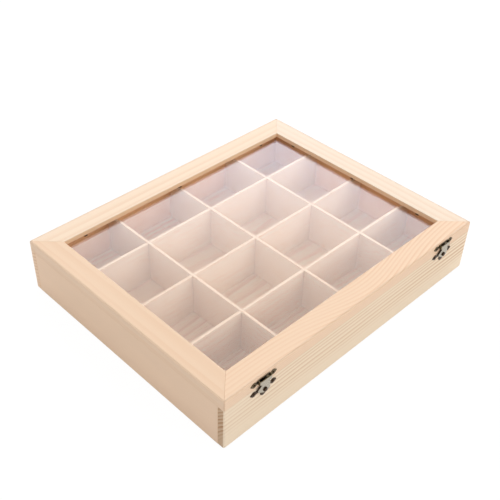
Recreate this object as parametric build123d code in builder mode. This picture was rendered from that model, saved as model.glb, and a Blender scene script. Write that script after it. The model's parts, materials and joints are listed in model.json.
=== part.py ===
from build123d import *
import os

os.makedirs("parts", exist_ok=True)

# A shallow wooden collection case: a tray of small cells under a hinged, glazed lid.
# All sizes are in millimetres. The origin is the middle of the underside, +X runs along
# the clasp side, -Y is the clasp side, +Y the hinge side and +Z is up.

# ------------------------------------------------------------------ driving dimensions
# Case: two long boards with two short boards between them, round a bottom panel
case_length = 300.0
case_depth = 240.0
case_height = 41.5
board_thickness = 6.5
corner_round = 1.6           # easing of the four upright corners
bottom_ease = 0.5            # easing of the long boards' lower outer edges
panel_thickness = 3.0
panel_lap = 3.0              # how far the panel reaches under each board
panel_clearance = 0.1

# Dividers: half-lapped strips whose ends stand in grooves in the boards. Their middles rise
# close under the pane, and their ends are lowered to pass under the lid's rails.
column_count = 4             # cells along the case
row_count = 4                # cells from front to back
divider_thickness = 2.5
divider_rise = 1.5           # how far the strips stand above the rim, inside the lid's window
divider_end_air = 0.5        # from the raised part's end to the window's edge
shoulder_below_rim = 0.3     # lowered ends, under the rails
groove_depth = 1.5
slip = 0.1                   # air on each side of a strip in its groove or notch

# Lid: four mitred rails with a rabbet below for the pane
lid_thickness = 9.5
rail_width = 21.0
lid_edge_round = 1.2
window_ease = 0.4
lip_thickness = 4.5          # wood left above the pane
rabbet_width = 5.0
glass_thickness = 2.0
glass_clearance = 0.5

# Glazing points: small flat steel darts driven into the rabbet under the pane
point_count = 3              # in each rail
point_inset = 22.0           # from the window's corner to the outer points
point_width = 3.0
point_thickness = 0.6
point_bite = 4.0             # length in the wood
point_short = 0.3            # how far the point stops short of the window's edge

# Brads: dome-headed nails that hold the hinges and clasps
nail_radius = 0.45
nail_head_radius = 1.15
nail_head_height = 0.5
nail_length = 5.0
nail_dome = 0.35
nail_clearance = 0.02

# Hinges: two small butt hinges laid flat on the back of the case and lid
hinge_inset = 55.0           # from the case's end to the hinge's middle
hinge_length = 20.0
leaf_height = 8.0            # from the pin's axis to the leaf's far edge
leaf_thickness = 0.8
knuckle_radius = 1.5
knuckle_air = 0.3            # between a knuckle and the wood or leaf beside it
knuckle_side_air = 0.1       # between one knuckle and the next
pin_radius = 0.7
pin_clearance = 0.05
pin_overhang = 0.6
hinge_nail_spacing = 12.0
hinge_nail_height = 5.0      # from the pin's axis
leaf_corner = 1.0

# Clasps: an eared plate on the lid whose pressed hood is open above and below, and a swinging
# lever on the case
clasp_inset = 40.2           # from the case's end to the clasp's middle, were both even
clasp_shift = -1.7           # both clasps are nailed on a little to the left
clasp_pivot_drop = 3.55      # from the seam down to the lever's pivot
clasp_scatter = 0.9          # the clasps are nailed on by eye: the left one low, the right one high
plate_thickness = 0.6
ear_span = 26.4              # from ear tip to ear tip
ear_tip_radius = 0.6
ear_radius = 2.4             # round the nail
ear_neck = 2.4               # height of the bar between the ears
ear_nail_spacing = 19.5
strike_nail_height = 6.0     # from the seam up to the lid plate's nails
hood_width = 12.6
hood_lift = 4.9              # from the seam up to the hood's mouth
hood_height = 3.5
hood_reach = 3.3             # how far it stands off the wood
hood_wall = 0.6
hood_corner = 1.4            # outside radius of its two bends
nose_in_hood = 1.0           # how far the lever's nose stands up into the hood
base_disc_radius = 3.2
base_foot_radius = 2.9
base_foot_drop = 4.6
lever_thickness = 0.9
lever_standoff = 1.3         # wood to the lever's back, clear of the nail heads
lever_float = 0.1            # play along the rivet
lever_corner = 0.7
lever_nose_width = 7.0
lever_half_body = 5.2
lever_shoulder = 5.0         # from the nose down to the full body
lever_heel = 3.6             # from the pivot down to the heel
horn_reach = 7.6             # from the pivot out to the finger horn's end
horn_width = 2.0
horn_rise = 0.8
horn_root = 6.2              # where the horn's upper edge meets the body
rivet_radius = 1.0
rivet_clearance = 0.05
rivet_head_radius = 1.9
rivet_head_height = 0.9
rivet_dome = 0.6

# ------------------------------------------------------------------ worked-out sizes
half_length = case_length / 2
half_depth = case_depth / 2
inner_length = case_length - 2 * board_thickness
inner_depth = case_depth - 2 * board_thickness
seam_height = case_height
divider_height = case_height + divider_rise - panel_thickness
shoulder_height = case_height - shoulder_below_rim - panel_thickness
slot_width = divider_thickness + 2 * slip
window_length = case_length - 2 * rail_width
window_depth = case_depth - 2 * rail_width
glass_top = seam_height + lid_thickness - lip_thickness
glass_bottom = glass_top - glass_thickness
pin_offset = knuckle_radius + knuckle_air
strike_nail_rise = clasp_pivot_drop + strike_nail_height
hood_bottom = clasp_pivot_drop + hood_lift
nose_top = hood_bottom + nose_in_hood
hood_room = hood_reach - hood_wall - plate_thickness
clasp_places = {
    "left": (clasp_shift + clasp_inset - half_length, seam_height - clasp_pivot_drop - clasp_scatter),
    "right": (clasp_shift + half_length - clasp_inset, seam_height - clasp_pivot_drop + clasp_scatter),
}
hinge_places = {"left": hinge_inset - half_length, "right": half_length - hinge_inset}
inward = {
    "front": Vector(0, 1, 0),
    "back": Vector(0, -1, 0),
    "left": Vector(1, 0, 0),
    "right": Vector(-1, 0, 0),
}
up = Vector(0, 0, 1)


# ------------------------------------------------------------------ shared geometry
def outer_middle(side, height):
    """Middle of one outer side of the case at a height."""
    reach = half_depth if side in ("front", "back") else half_length
    return up * height - inward[side] * reach


def section_plane(side, height=0.0):
    """Cross-section of a side piece: x points inwards, y up, z along the side."""
    return Plane(outer_middle(side, height), x_dir=inward[side], z_dir=inward[side].cross(up))


def plan_plane(side, height):
    """Level plane on a side piece: x points inwards from its outer face."""
    return Plane(outer_middle(side, height), x_dir=inward[side], z_dir=up)


def clasp_face(side):
    """The front face at a clasp's pivot: x runs right, y up, z out of the wood."""
    x, z = clasp_places[side]
    return Plane((x, -half_depth, z), x_dir=(1, 0, 0), z_dir=(0, -1, 0))


def hinge_face(side):
    """The back face at a hinge's pin: x runs towards -X, y up, z out of the wood."""
    return Plane((hinge_places[side], half_depth, seam_height), x_dir=(-1, 0, 0), z_dir=(0, 1, 0))


def divider_places(cell_count, span):
    """Middles of the strips that split a span into equal cells."""
    pitch = (span + divider_thickness) / cell_count
    return [(k - (cell_count - 2) / 2) * pitch for k in range(cell_count - 1)]


def point_places(side):
    """Places of the glazing points along one rail."""
    window = window_length if side in ("front", "back") else window_depth
    reach = window / 2 - point_inset
    return [reach * (2 * k / (point_count - 1) - 1) for k in range(point_count)]


def clasp_nail_places(rise):
    return [(-ear_nail_spacing / 2, rise), (ear_nail_spacing / 2, rise)]


def hinge_nail_places(way):
    """Nail places on a leaf that points up (way 1) or down (way -1) from the pin."""
    return [(s * hinge_nail_spacing / 2, way * hinge_nail_height) for s in (-1, 1)]


def drill(face, places, depth):
    """Nail holes square into a face."""
    with BuildSketch(face) as holes:
        with Locations(*places):
            Circle(nail_radius + nail_clearance)
    extrude(holes.sketch, amount=-depth, mode=Mode.SUBTRACT)


def drive(face, places, seat):
    """Nails driven square into a face, with their heads on sheet metal of a thickness."""
    with BuildSketch(face.offset(seat)) as heads:
        with Locations(*places):
            Circle(nail_head_radius)
    extrude(heads.sketch, amount=nail_head_height)
    with BuildSketch(face.offset(seat)) as shanks:
        with Locations(*places):
            Circle(nail_radius)
    extrude(shanks.sketch, amount=-nail_length)


def dome_heads(part, out):
    """Round the outer rims of all the nail heads; out is the axis the heads face along."""
    rims = part.edges().filter_by(GeomType.CIRCLE).group_by(out)[-1]
    fillet(rims, nail_dome)


def save(piece, name):
    piece.part.label = name
    export_step(piece.part, f"parts/{name}.step")


# ------------------------------------------------------------------ case
long_places = divider_places(row_count, inner_depth)
cross_places = divider_places(column_count, inner_length)
nail_hole_depth = nail_length + slip

for side in ("front", "back", "left", "right"):
    runs_through = side in ("front", "back")
    length = case_length if runs_through else inner_depth
    rabbet_length = inner_length + 2 * panel_lap if runs_through else inner_depth
    grooves = cross_places if runs_through else long_places
    plane = section_plane(side)
    with BuildPart() as board:
        with BuildSketch(plane):
            Rectangle(board_thickness, case_height, align=(Align.MIN, Align.MIN))
        extrude(amount=length / 2, both=True)
        if runs_through:
            outer = board.faces().sort_by(Axis(plane.origin, plane.x_dir))[0]
            fillet(outer.edges().filter_by(Axis.Z), corner_round)
            low = board.faces().sort_by(Axis.Z)[0].edges().filter_by(Axis.X)
            chamfer(low.sort_by(Axis(plane.origin, plane.x_dir))[0], bottom_ease)
        # stopped rabbet for the bottom panel
        with BuildSketch(plane.offset(-rabbet_length / 2)):
            with Locations((board_thickness - panel_lap, 0)):
                Rectangle(panel_lap, panel_thickness, align=(Align.MIN, Align.MIN))
        extrude(amount=rabbet_length, mode=Mode.SUBTRACT)
        # upright grooves for the dividers' ends
        for place in grooves:
            with BuildSketch(plane.offset(place - slot_width / 2)):
                with Locations((board_thickness - groove_depth, panel_thickness)):
                    Rectangle(groove_depth, case_height, align=(Align.MIN, Align.MIN))
            extrude(amount=slot_width, mode=Mode.SUBTRACT)
        if side == "front":
            for clasp in clasp_places:
                drill(clasp_face(clasp), clasp_nail_places(0), nail_hole_depth)
        if side == "back":
            for hinge in hinge_places:
                drill(hinge_face(hinge), hinge_nail_places(-1), nail_hole_depth)
    save(board, f"{side}_board")

with BuildPart() as bottom_panel:
    with BuildSketch(Plane.XY):
        reach = 2 * (panel_lap - panel_clearance)
        Rectangle(inner_length + reach, inner_depth + reach)
    extrude(amount=panel_thickness)
save(bottom_panel, "bottom_panel")

# Long strips run the length of the case, notched from above where the cross strips pass
for number, place in enumerate(long_places, start=1):
    strip_plane = Plane((0, place, panel_thickness), x_dir=(1, 0, 0), z_dir=(0, -1, 0))
    with BuildPart() as strip:
        with BuildSketch(strip_plane):
            strip_length = inner_length + 2 * (groove_depth - slip)
            Rectangle(strip_length, shoulder_height, align=(Align.CENTER, Align.MIN))
            raised_length = window_length - 2 * divider_end_air
            Rectangle(raised_length, divider_height, align=(Align.CENTER, Align.MIN))
            with Locations(*[(x, divider_height / 2) for x in cross_places]):
                Rectangle(slot_width, divider_height, align=(Align.CENTER, Align.MIN), mode=Mode.SUBTRACT)
        extrude(amount=divider_thickness / 2, both=True)
    save(strip, f"long_divider_{number}")

# Cross strips run front to back over them, notched from below
for number, place in enumerate(cross_places, start=1):
    strip_plane = Plane((place, 0, panel_thickness), x_dir=(0, 1, 0), z_dir=(1, 0, 0))
    with BuildPart() as strip:
        with BuildSketch(strip_plane):
            strip_length = inner_depth + 2 * (groove_depth - slip)
            Rectangle(strip_length, shoulder_height, align=(Align.CENTER, Align.MIN))
            raised_length = window_depth - 2 * divider_end_air
            Rectangle(raised_length, divider_height, align=(Align.CENTER, Align.MIN))
            with Locations(*[(y, divider_height / 2) for y in long_places]):
                Rectangle(slot_width, divider_height, align=(Align.CENTER, Align.MAX), mode=Mode.SUBTRACT)
        extrude(amount=divider_thickness / 2, both=True)
    save(strip, f"cross_divider_{number}")


# ------------------------------------------------------------------ lid
def point_outlines(side, grow):
    """Flat darts seen from above: square end under the pane, tip in the wood."""
    wall = rail_width - rabbet_width
    half = point_width / 2 + grow
    inner_end = rail_width - point_short
    for place in point_places(side):
        Polygon(
            (inner_end, place - half),
            (inner_end, place + half),
            (wall - point_bite / 2, place + half),
            (wall - point_bite - grow, place),
            (wall - point_bite / 2, place - half),
            align=None,
        )


for side in ("front", "back", "left", "right"):
    with BuildPart() as rail:
        with BuildSketch(Plane.XY.offset(seam_height)):
            RectangleRounded(case_length, case_depth, corner_round)
            Rectangle(window_length, window_depth, mode=Mode.SUBTRACT)
        extrude(amount=lid_thickness)
        top = rail.faces().sort_by(Axis.Z)[-1]
        fillet(top.outer_wire().edges(), lid_edge_round)
        top = rail.faces().sort_by(Axis.Z)[-1]
        chamfer(top.inner_wires()[0].edges(), window_ease)
        # rabbet for the pane, from below
        with BuildSketch(Plane.XY.offset(seam_height)):
            Rectangle(window_length + 2 * rabbet_width, window_depth + 2 * rabbet_width)
        extrude(amount=lid_thickness - lip_thickness, mode=Mode.SUBTRACT)
        # mitres through the two outer corners at the rail's ends
        along = inward[side].cross(up)
        half = half_length if side in ("front", "back") else half_depth
        for way in (-1, 1):
            corner = outer_middle(side, seam_height) + along * (way * half)
            split(bisect_by=Plane(corner, z_dir=along * -way - inward[side]), keep=Keep.TOP)
        # slits for the glazing points
        with BuildSketch(plan_plane(side, glass_bottom - point_thickness - nail_clearance)):
            point_outlines(side, nail_clearance)
        extrude(amount=point_thickness + 2 * nail_clearance, mode=Mode.SUBTRACT)
        if side == "front":
            for clasp in clasp_places:
                drill(clasp_face(clasp), clasp_nail_places(strike_nail_rise), nail_hole_depth)
        if side == "back":
            for hinge in hinge_places:
                drill(hinge_face(hinge), hinge_nail_places(1), nail_hole_depth)
    save(rail, f"lid_{side}_rail")

with BuildPart() as glass_pane:
    with BuildSketch(Plane.XY.offset(glass_bottom)):
        reach = 2 * (rabbet_width - glass_clearance)
        Rectangle(window_length + reach, window_depth + reach)
    extrude(amount=glass_thickness)
save(glass_pane, "glass_pane")

with BuildPart() as glazing_points:
    for side in ("front", "back", "left", "right"):
        with BuildSketch(plan_plane(side, glass_bottom - point_thickness)):
            point_outlines(side, 0)
        extrude(amount=point_thickness)
save(glazing_points, "glazing_points")


# ------------------------------------------------------------------ hinges
def make_leaf(side, way, spans):
    """One leaf, pointing up (way 1) or down (way -1), with its knuckles over the given spans."""
    face = hinge_face(side)
    relief = pin_offset
    axis_plane = Plane(
        (hinge_places[side], half_depth + pin_offset, seam_height), x_dir=(0, 1, 0), z_dir=(1, 0, 0)
    )
    with BuildPart() as leaf:
        with BuildSketch(face):
            with Locations((0, way * (relief + leaf_height) / 2)):
                Rectangle(hinge_length, leaf_height - relief)
        extrude(amount=leaf_thickness)
        far = leaf.edges().filter_by(Axis.Y).group_by(Axis.Z)[-1 if way > 0 else 0]
        fillet(far, leaf_corner)
        for start, end in spans:
            with BuildSketch(face):
                with Locations((-(start + end) / 2, way * relief / 2)):
                    Rectangle(end - start, relief)
            extrude(amount=leaf_thickness)
            with BuildSketch(axis_plane.offset(start)):
                Circle(knuckle_radius)
            extrude(amount=end - start)
        with BuildSketch(axis_plane):
            Circle(pin_radius + pin_clearance)
        extrude(amount=hinge_length, both=True, mode=Mode.SUBTRACT)
        drill(face.offset(leaf_thickness), hinge_nail_places(way), leaf_thickness)
    return leaf


third = hinge_length / 6
outer_spans = [(-hinge_length / 2, -third - knuckle_side_air), (third + knuckle_side_air, hinge_length / 2)]
middle_span = [(-third + knuckle_side_air, third - knuckle_side_air)]
for side in hinge_places:
    save(make_leaf(side, -1, outer_spans), f"hinge_case_leaf_{side}")
    save(make_leaf(side, 1, middle_span), f"hinge_lid_leaf_{side}")
    pin_axis = (hinge_places[side], half_depth + pin_offset, seam_height)
    with BuildPart() as pin:
        with BuildSketch(Plane(pin_axis, z_dir=(1, 0, 0))):
            Circle(pin_radius)
        extrude(amount=hinge_length / 2 + pin_overhang, both=True)
        chamfer(pin.edges().filter_by(GeomType.CIRCLE), pin_radius / 3)
    save(pin, f"hinge_pin_{side}")

with BuildPart() as hinge_case_nails:
    for side in hinge_places:
        drive(hinge_face(side), hinge_nail_places(-1), leaf_thickness)
    dome_heads(hinge_case_nails, Axis.Y)
save(hinge_case_nails, "hinge_case_nails")

with BuildPart() as hinge_lid_nails:
    for side in hinge_places:
        drive(hinge_face(side), hinge_nail_places(1), leaf_thickness)
    dome_heads(hinge_lid_nails, Axis.Y)
save(hinge_lid_nails, "hinge_lid_nails")


# ------------------------------------------------------------------ clasps
def eared_bar(rise):
    """Flat bar between two pointed ears, each rounded about its nail."""
    with Locations((ear_nail_spacing / 2, rise)):
        Circle(ear_radius)
    with Locations((ear_span / 2 - ear_tip_radius, rise)):
        Circle(ear_tip_radius)
    make_hull()
    mirror(about=Plane.YZ)
    with Locations((0, rise)):
        Rectangle(ear_nail_spacing, ear_neck)


for side in clasp_places:
    face = clasp_face(side)
    mouth = Plane(face.origin + up * hood_bottom, x_dir=(-1, 0, 0), z_dir=up)
    with BuildPart() as strike:
        with BuildSketch(face):
            eared_bar(strike_nail_rise)
            with Locations((0, hood_bottom)):
                Rectangle(hood_width, hood_height, align=(Align.CENTER, Align.MIN))
        extrude(amount=plate_thickness)
        # hood: a bridge of sheet that stands off the plate, with two rounded bends
        for start, reach, width, corner, mode in (
            (0, hood_reach, hood_width, hood_corner, Mode.ADD),
            (plate_thickness, hood_room, hood_width - 2 * hood_wall, hood_corner - hood_wall, Mode.SUBTRACT),
        ):
            with BuildSketch(mouth) as bridge:
                with Locations((0, start)):
                    Rectangle(width, reach, align=(Align.CENTER, Align.MIN))
                fillet(bridge.vertices().group_by(Axis.Y)[-1], corner)
            extrude(amount=hood_height, mode=mode)
        drill(face.offset(plate_thickness), clasp_nail_places(strike_nail_rise), plate_thickness)
    save(strike, f"clasp_strike_plate_{side}")

    with BuildPart() as base:
        with BuildSketch(face):
            eared_bar(0)
            Circle(base_disc_radius)
            with Locations((0, -base_foot_drop)):
                Circle(base_foot_radius)
        extrude(amount=plate_thickness)
        # raised seat that holds the lever clear of the nail heads
        with BuildSketch(face):
            Circle(rivet_head_radius + slip)
        extrude(amount=lever_standoff - lever_float)
        with BuildSketch(face):
            Circle(rivet_radius + nail_clearance)
        extrude(amount=lever_standoff, mode=Mode.SUBTRACT)
        drill(face.offset(plate_thickness), clasp_nail_places(0), plate_thickness)
    save(base, f"clasp_base_plate_{side}")

    # lever: broad nose that stands in the hood, and a finger horn to the lower left
    with BuildPart() as lever:
        with BuildSketch(face.offset(lever_standoff)):
            Polygon(
                (-lever_nose_width / 2, nose_top),
                (lever_nose_width / 2, nose_top),
                (lever_half_body, nose_top - lever_shoulder),
                (lever_half_body, -lever_heel / 2),
                (lever_heel / 2, -lever_heel),
                (-lever_heel / 2, -lever_heel * 2 / 3),
                (-horn_reach + horn_rise, horn_rise),
                (-horn_reach, horn_rise + horn_width),
                (-lever_nose_width / 2, horn_root),
                align=None,
            )
            Circle(rivet_radius + rivet_clearance, mode=Mode.SUBTRACT)
        extrude(amount=lever_thickness)
        fillet(lever.edges().filter_by(Axis.Y).filter_by(GeomType.LINE), lever_corner)
    save(lever, f"clasp_lever_{side}")

    with BuildPart() as rivet:
        with BuildSketch(face):
            Circle(rivet_radius)
        extrude(amount=lever_standoff + lever_thickness + lever_float)
        with BuildSketch(face.offset(lever_standoff + lever_thickness + lever_float)):
            Circle(rivet_head_radius)
        extrude(amount=rivet_head_height)
        rim = rivet.edges().filter_by(GeomType.CIRCLE).sort_by(Axis.Y)[0]
        fillet(rim, rivet_dome)
    save(rivet, f"clasp_rivet_{side}")

with BuildPart() as clasp_lid_nails:
    for side in clasp_places:
        drive(clasp_face(side), clasp_nail_places(strike_nail_rise), plate_thickness)
    dome_heads(clasp_lid_nails, -Axis.Y)
save(clasp_lid_nails, "clasp_lid_nails")

with BuildPart() as clasp_case_nails:
    for side in clasp_places:
        drive(clasp_face(side), clasp_nail_places(0), plate_thickness)
    dome_heads(clasp_case_nails, -Axis.Y)
save(clasp_case_nails, "clasp_case_nails")
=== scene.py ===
"""A wooden specimen case under a glazed, hinged lid: finishes, small metalwork, stage and camera.

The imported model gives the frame. Wood pieces get eased edges and a solid pine figure, the pane is
clear float glass, and the clasps, hinges, nails and glazing points are bronze and steel.
Lengths are in metres, with +X along the clasp side, -Y towards the clasps and +Z up.
"""

import json
import math

import bmesh
import bpy
from bpy.props import FloatProperty, FloatVectorProperty, IntProperty, PointerProperty
from bpy.types import Operator, Panel, PropertyGroup
from mathutils import Matrix, Vector


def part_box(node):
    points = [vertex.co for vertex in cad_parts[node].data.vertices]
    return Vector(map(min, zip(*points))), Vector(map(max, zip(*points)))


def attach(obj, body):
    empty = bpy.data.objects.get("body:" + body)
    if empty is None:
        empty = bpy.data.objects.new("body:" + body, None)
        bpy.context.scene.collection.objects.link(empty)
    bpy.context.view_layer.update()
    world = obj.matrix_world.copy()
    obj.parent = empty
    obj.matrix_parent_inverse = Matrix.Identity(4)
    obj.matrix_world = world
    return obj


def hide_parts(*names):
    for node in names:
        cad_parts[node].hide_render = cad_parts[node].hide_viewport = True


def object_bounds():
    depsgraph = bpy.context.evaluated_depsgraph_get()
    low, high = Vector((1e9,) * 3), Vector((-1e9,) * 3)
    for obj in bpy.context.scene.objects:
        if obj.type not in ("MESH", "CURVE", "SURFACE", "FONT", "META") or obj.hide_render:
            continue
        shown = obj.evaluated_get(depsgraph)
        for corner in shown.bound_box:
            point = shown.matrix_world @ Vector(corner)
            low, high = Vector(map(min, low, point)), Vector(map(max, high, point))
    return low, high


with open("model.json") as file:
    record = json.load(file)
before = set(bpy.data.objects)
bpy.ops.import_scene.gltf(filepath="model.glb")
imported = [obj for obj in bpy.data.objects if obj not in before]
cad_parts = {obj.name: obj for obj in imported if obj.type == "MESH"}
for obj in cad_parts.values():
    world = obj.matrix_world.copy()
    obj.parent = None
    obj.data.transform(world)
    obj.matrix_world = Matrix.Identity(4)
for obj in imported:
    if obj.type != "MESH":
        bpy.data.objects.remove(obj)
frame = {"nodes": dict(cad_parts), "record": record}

bl_info = {
    "name": "Glazed specimen case",
    "version": (1, 0, 0),
    "blender": (4, 5, 0),
    "location": "View3D > Sidebar > Case",
    "description": "Dresses a wooden specimen case with a glazed lid, clasps and hinges",
    "category": "Object",
}

MM = 0.001
CAD_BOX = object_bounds()
WELD = 0.002 * MM
PANE_IN_RABBET = 4.5 * MM
TALLEST_METAL = 3.3 * MM
RIGHT_ANGLE = math.pi / 2
LENS = 58.76
ROLL = 1.98


def srgb(red, green, blue):
    """Linear colour of a tint that is given in 0 to 255 steps, as on a colour card."""

    def linear(step):
        share = step / 255
        return share / 12.92 if share <= 0.04045 else ((share + 0.055) / 1.055) ** 2.4

    return (linear(red), linear(green), linear(blue), 1.0)


def tint(name, description, default):
    return FloatVectorProperty(
        name=name, description=description, default=default, subtype="COLOR", size=4, min=0, max=1
    )


def length(name, description, default):
    return FloatProperty(
        name=name, description=description, default=default, unit="LENGTH", precision=5
    )


def share(name, description, default):
    return FloatProperty(
        name=name, description=description, default=default, subtype="FACTOR", min=0, max=1
    )


# ------------------------------------------------------------------ settings
class WoodSettings(PropertyGroup):
    # The front board's early wood is paler than the other boards': partly their own tones, partly painted light on the
    # lit front face and painted shade on the sides.
    front_wood_and_light: tint("Front wood and painted light", "Early wood of the front board", srgb(246, 227, 202))
    case_late: tint("Case rings", "Late wood of the four boards", srgb(198, 146, 98))
    side_wood_and_shade: tint("Side wood and painted shade", "Early wood of the other three boards", srgb(244, 215, 188))
    end_grain: tint("End grain", "What the front board's end grain is tinted with", srgb(216, 202, 190))
    # The divider strips' tops take this slightly darker tint: a painted shade that holds back the light they catch.
    strip_top_shade: tint("Painted shade on strip tops", "What the strips' upper edges are tinted with", srgb(255, 246, 241))
    lid_pale: tint("Lid wood", "Early wood of the lid's rails", srgb(243, 213, 184))
    # The back and right rails' early wood is paler and whiter: partly their own tone, partly painted sheen, the
    # softbox's glare on the far rails.
    back_rail_wood_and_sheen: tint("Back rail wood and painted sheen", "Early wood of the lid's back rail, paler as painted sheen", srgb(243, 220, 195))
    right_rail_wood_and_sheen: tint("Right rail wood and painted sheen", "Early wood of the lid's right rail, paler as painted sheen", srgb(242, 223, 202))
    # The boards' inner faces take a warm tint: painted bounce light, the warm light that wood walls throw on each other
    # in shade.
    inner: tint("Painted bounce on inner faces", "Warm tint of the boards' inner faces, a painted bounce light", srgb(255, 232, 206))
    lid_late: tint("Lid rings", "Late wood of the lid's rails", srgb(222, 170, 122))
    # The rails' inner faces round the window take a lighter, more orange tint: painted light on these shaded faces,
    # with faint streaks.
    window_face_light: tint("Painted light on window faces", "Routed inner faces of the lid's rails", srgb(255, 218, 180))
    # The rabbet under the pane takes a deeper orange: painted warm bounce light in this shaded recess.
    rabbet_bounce: tint("Painted bounce in rabbet", "Rabbet under the pane", srgb(222, 158, 110))
    divider_pale: tint("Divider wood", "Early wood of the divider strips", srgb(243, 220, 196))
    divider_late: tint("Divider rings", "Late wood of the divider strips", srgb(232, 200, 168))
    floor_pale: tint("Floor wood", "Face of the bottom panel", srgb(242, 214, 184))
    floor_late: tint("Floor rings", "Rings of the bottom panel", srgb(218, 176, 140))
    easing: length("Easing", "Width of the sanded edges", 0.25 * MM)


class MetalSettings(PropertyGroup):
    bronze: tint("Bronze", "Dark plating of the clasps and hinges", srgb(62, 42, 22))
    # The plates on the lid take a lighter copy of the bronze: painted light on the strip that the hood shades.
    lightened: tint("Lightened bronze", "Lighter bronze of the plates on the lid, painted light on the strip the hood shades", srgb(104, 90, 62))
    # This colour is the plating's wear, and also a painted highlight on the clasps' proud front faces, for the bright
    # floor that they mirror.
    rubbed: tint("Bronze wear and painted highlight", "Plating where edges and the levers are rubbed", srgb(180, 171, 155))
    steel: tint("Steel", "Glazing points and hinge pins", srgb(16, 12, 10))
    roughness: share("Roughness", "Roughness of the plating", 0.34)
    easing: length("Easing", "Width of the rolled edges", 0.11 * MM)


class NailSettings(PropertyGroup):
    head_radius: length("Head radius", "Radius of a brad's head", 1.2 * MM)
    head_height: length("Head height", "Height of a brad's dome", 0.5 * MM)
    shank_radius: length("Shank radius", "Radius of a brad's shank", 0.45 * MM)
    tilt: FloatProperty(name="Tilt", description="How far off square a brad may stand", default=0.03, subtype="ANGLE")
    seed: IntProperty(name="Seed", description="Seed of the brads' turns and tilts", default=4)


class PaneSettings(PropertyGroup):
    clear: tint("Glass", "Tint of the pane", (0.985, 0.985, 0.99, 1.0))
    roughness: share("Roughness", "Roughness of the pane", 0.0)
    ior: FloatProperty(name="IOR", description="Refraction of the pane", default=1.5, min=1.0)


class StageSettings(PropertyGroup):
    backdrop: tint("Backdrop", "Floor and background", (1.0, 1.0, 1.0, 1.0))
    near_haze: tint("Near haze", "What the near side of the pane mirrors", (1.0, 0.98, 0.95, 1.0))
    far_haze: tint("Far haze", "What the far side of the pane mirrors", (0.83, 0.85, 1.0, 1.0))
    near_glare: FloatProperty(name="Near glare", description="Brightness of the near haze", default=1.45, min=0)
    far_glare: FloatProperty(name="Far glare", description="Brightness of the far haze", default=2.7, min=0)
    sky: FloatProperty(name="Sky", description="Strength of the surrounding light", default=0.60, min=0)
    softbox: FloatProperty(name="Softbox", description="Power of the lamp behind", default=18.5, unit="POWER")
    front: FloatProperty(name="Front lamp", description="Power of the lamp in front", default=7.5, unit="POWER")
    side: FloatProperty(name="Side lamp", description="Power of the lamp on the left", default=1.3, unit="POWER")
    lens: FloatProperty(name="Lens", description="Camera's focal length in mm", default=LENS, min=1)
    roll: FloatProperty(name="Roll", description="Camera's roll", default=math.radians(ROLL), subtype="ANGLE")


# ------------------------------------------------------------------ shader wiring
class Wiring:
    """Adds nodes to a tree and joins their sockets."""

    def __init__(self, tree):
        self.tree = tree

    def node(self, kind, sockets=None, **settings):
        made = self.tree.nodes.new(kind)
        for key, value in settings.items():
            setattr(made, key, value)
        for key, value in (sockets or {}).items():
            self.put(made.inputs[key], value)
        return made

    def put(self, socket, value):
        if isinstance(value, bpy.types.NodeSocket):
            self.tree.links.new(value, socket)
        else:
            socket.default_value = value

    def sum(self, operation, *values):
        made = self.node("ShaderNodeMath", operation=operation)
        for socket, value in zip(made.inputs, values):
            self.put(socket, value)
        return made.outputs[0]

    def ease(self, value, low, high, start=0.0, end=1.0):
        """Smooth step from start to end as the value goes from low to high."""
        made = self.node("ShaderNodeMapRange", interpolation_type="SMOOTHSTEP")
        for name, number in (
            ("Value", value), ("From Min", low), ("From Max", high), ("To Min", start), ("To Max", end)
        ):
            self.put(made.inputs[name], number)
        return made.outputs[0]

    def mix(self, factor, first, second, blend="MIX"):
        made = self.node("ShaderNodeMix", data_type="RGBA", blend_type=blend)
        self.put(made.inputs[0], factor)
        self.put(made.inputs[6], first)
        self.put(made.inputs[7], second)
        return made.outputs[2]

    def noise(self, vector, scale, detail=2.0, roughness=0.5):
        return self.node(
            "ShaderNodeTexNoise",
            {"Vector": vector, "Scale": scale, "Detail": detail, "Roughness": roughness},
        )

    def stretch(self, vector, along, across):
        """Scales a vector, less along the grain than across it."""
        made = self.node("ShaderNodeVectorMath", {0: vector, 1: (along, across, across)}, operation="MULTIPLY")
        return made.outputs[0]


def new_group(name, inputs, outputs):
    """Shader node group with named sockets: name, socket kind and default."""
    group = bpy.data.node_groups.new(name, "ShaderNodeTree")
    for label, kind, default in inputs:
        socket = group.interface.new_socket(label, in_out="INPUT", socket_type=kind)
        if default is not None:
            socket.default_value = default
    for label, kind in outputs:
        group.interface.new_socket(label, in_out="OUTPUT", socket_type=kind)
    wiring = Wiring(group)
    return group, wiring, wiring.node("NodeGroupInput").outputs, wiring.node("NodeGroupOutput").inputs


FLOAT = "NodeSocketFloat"
COLOR = "NodeSocketColor"
VECTOR = "NodeSocketVector"


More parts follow.
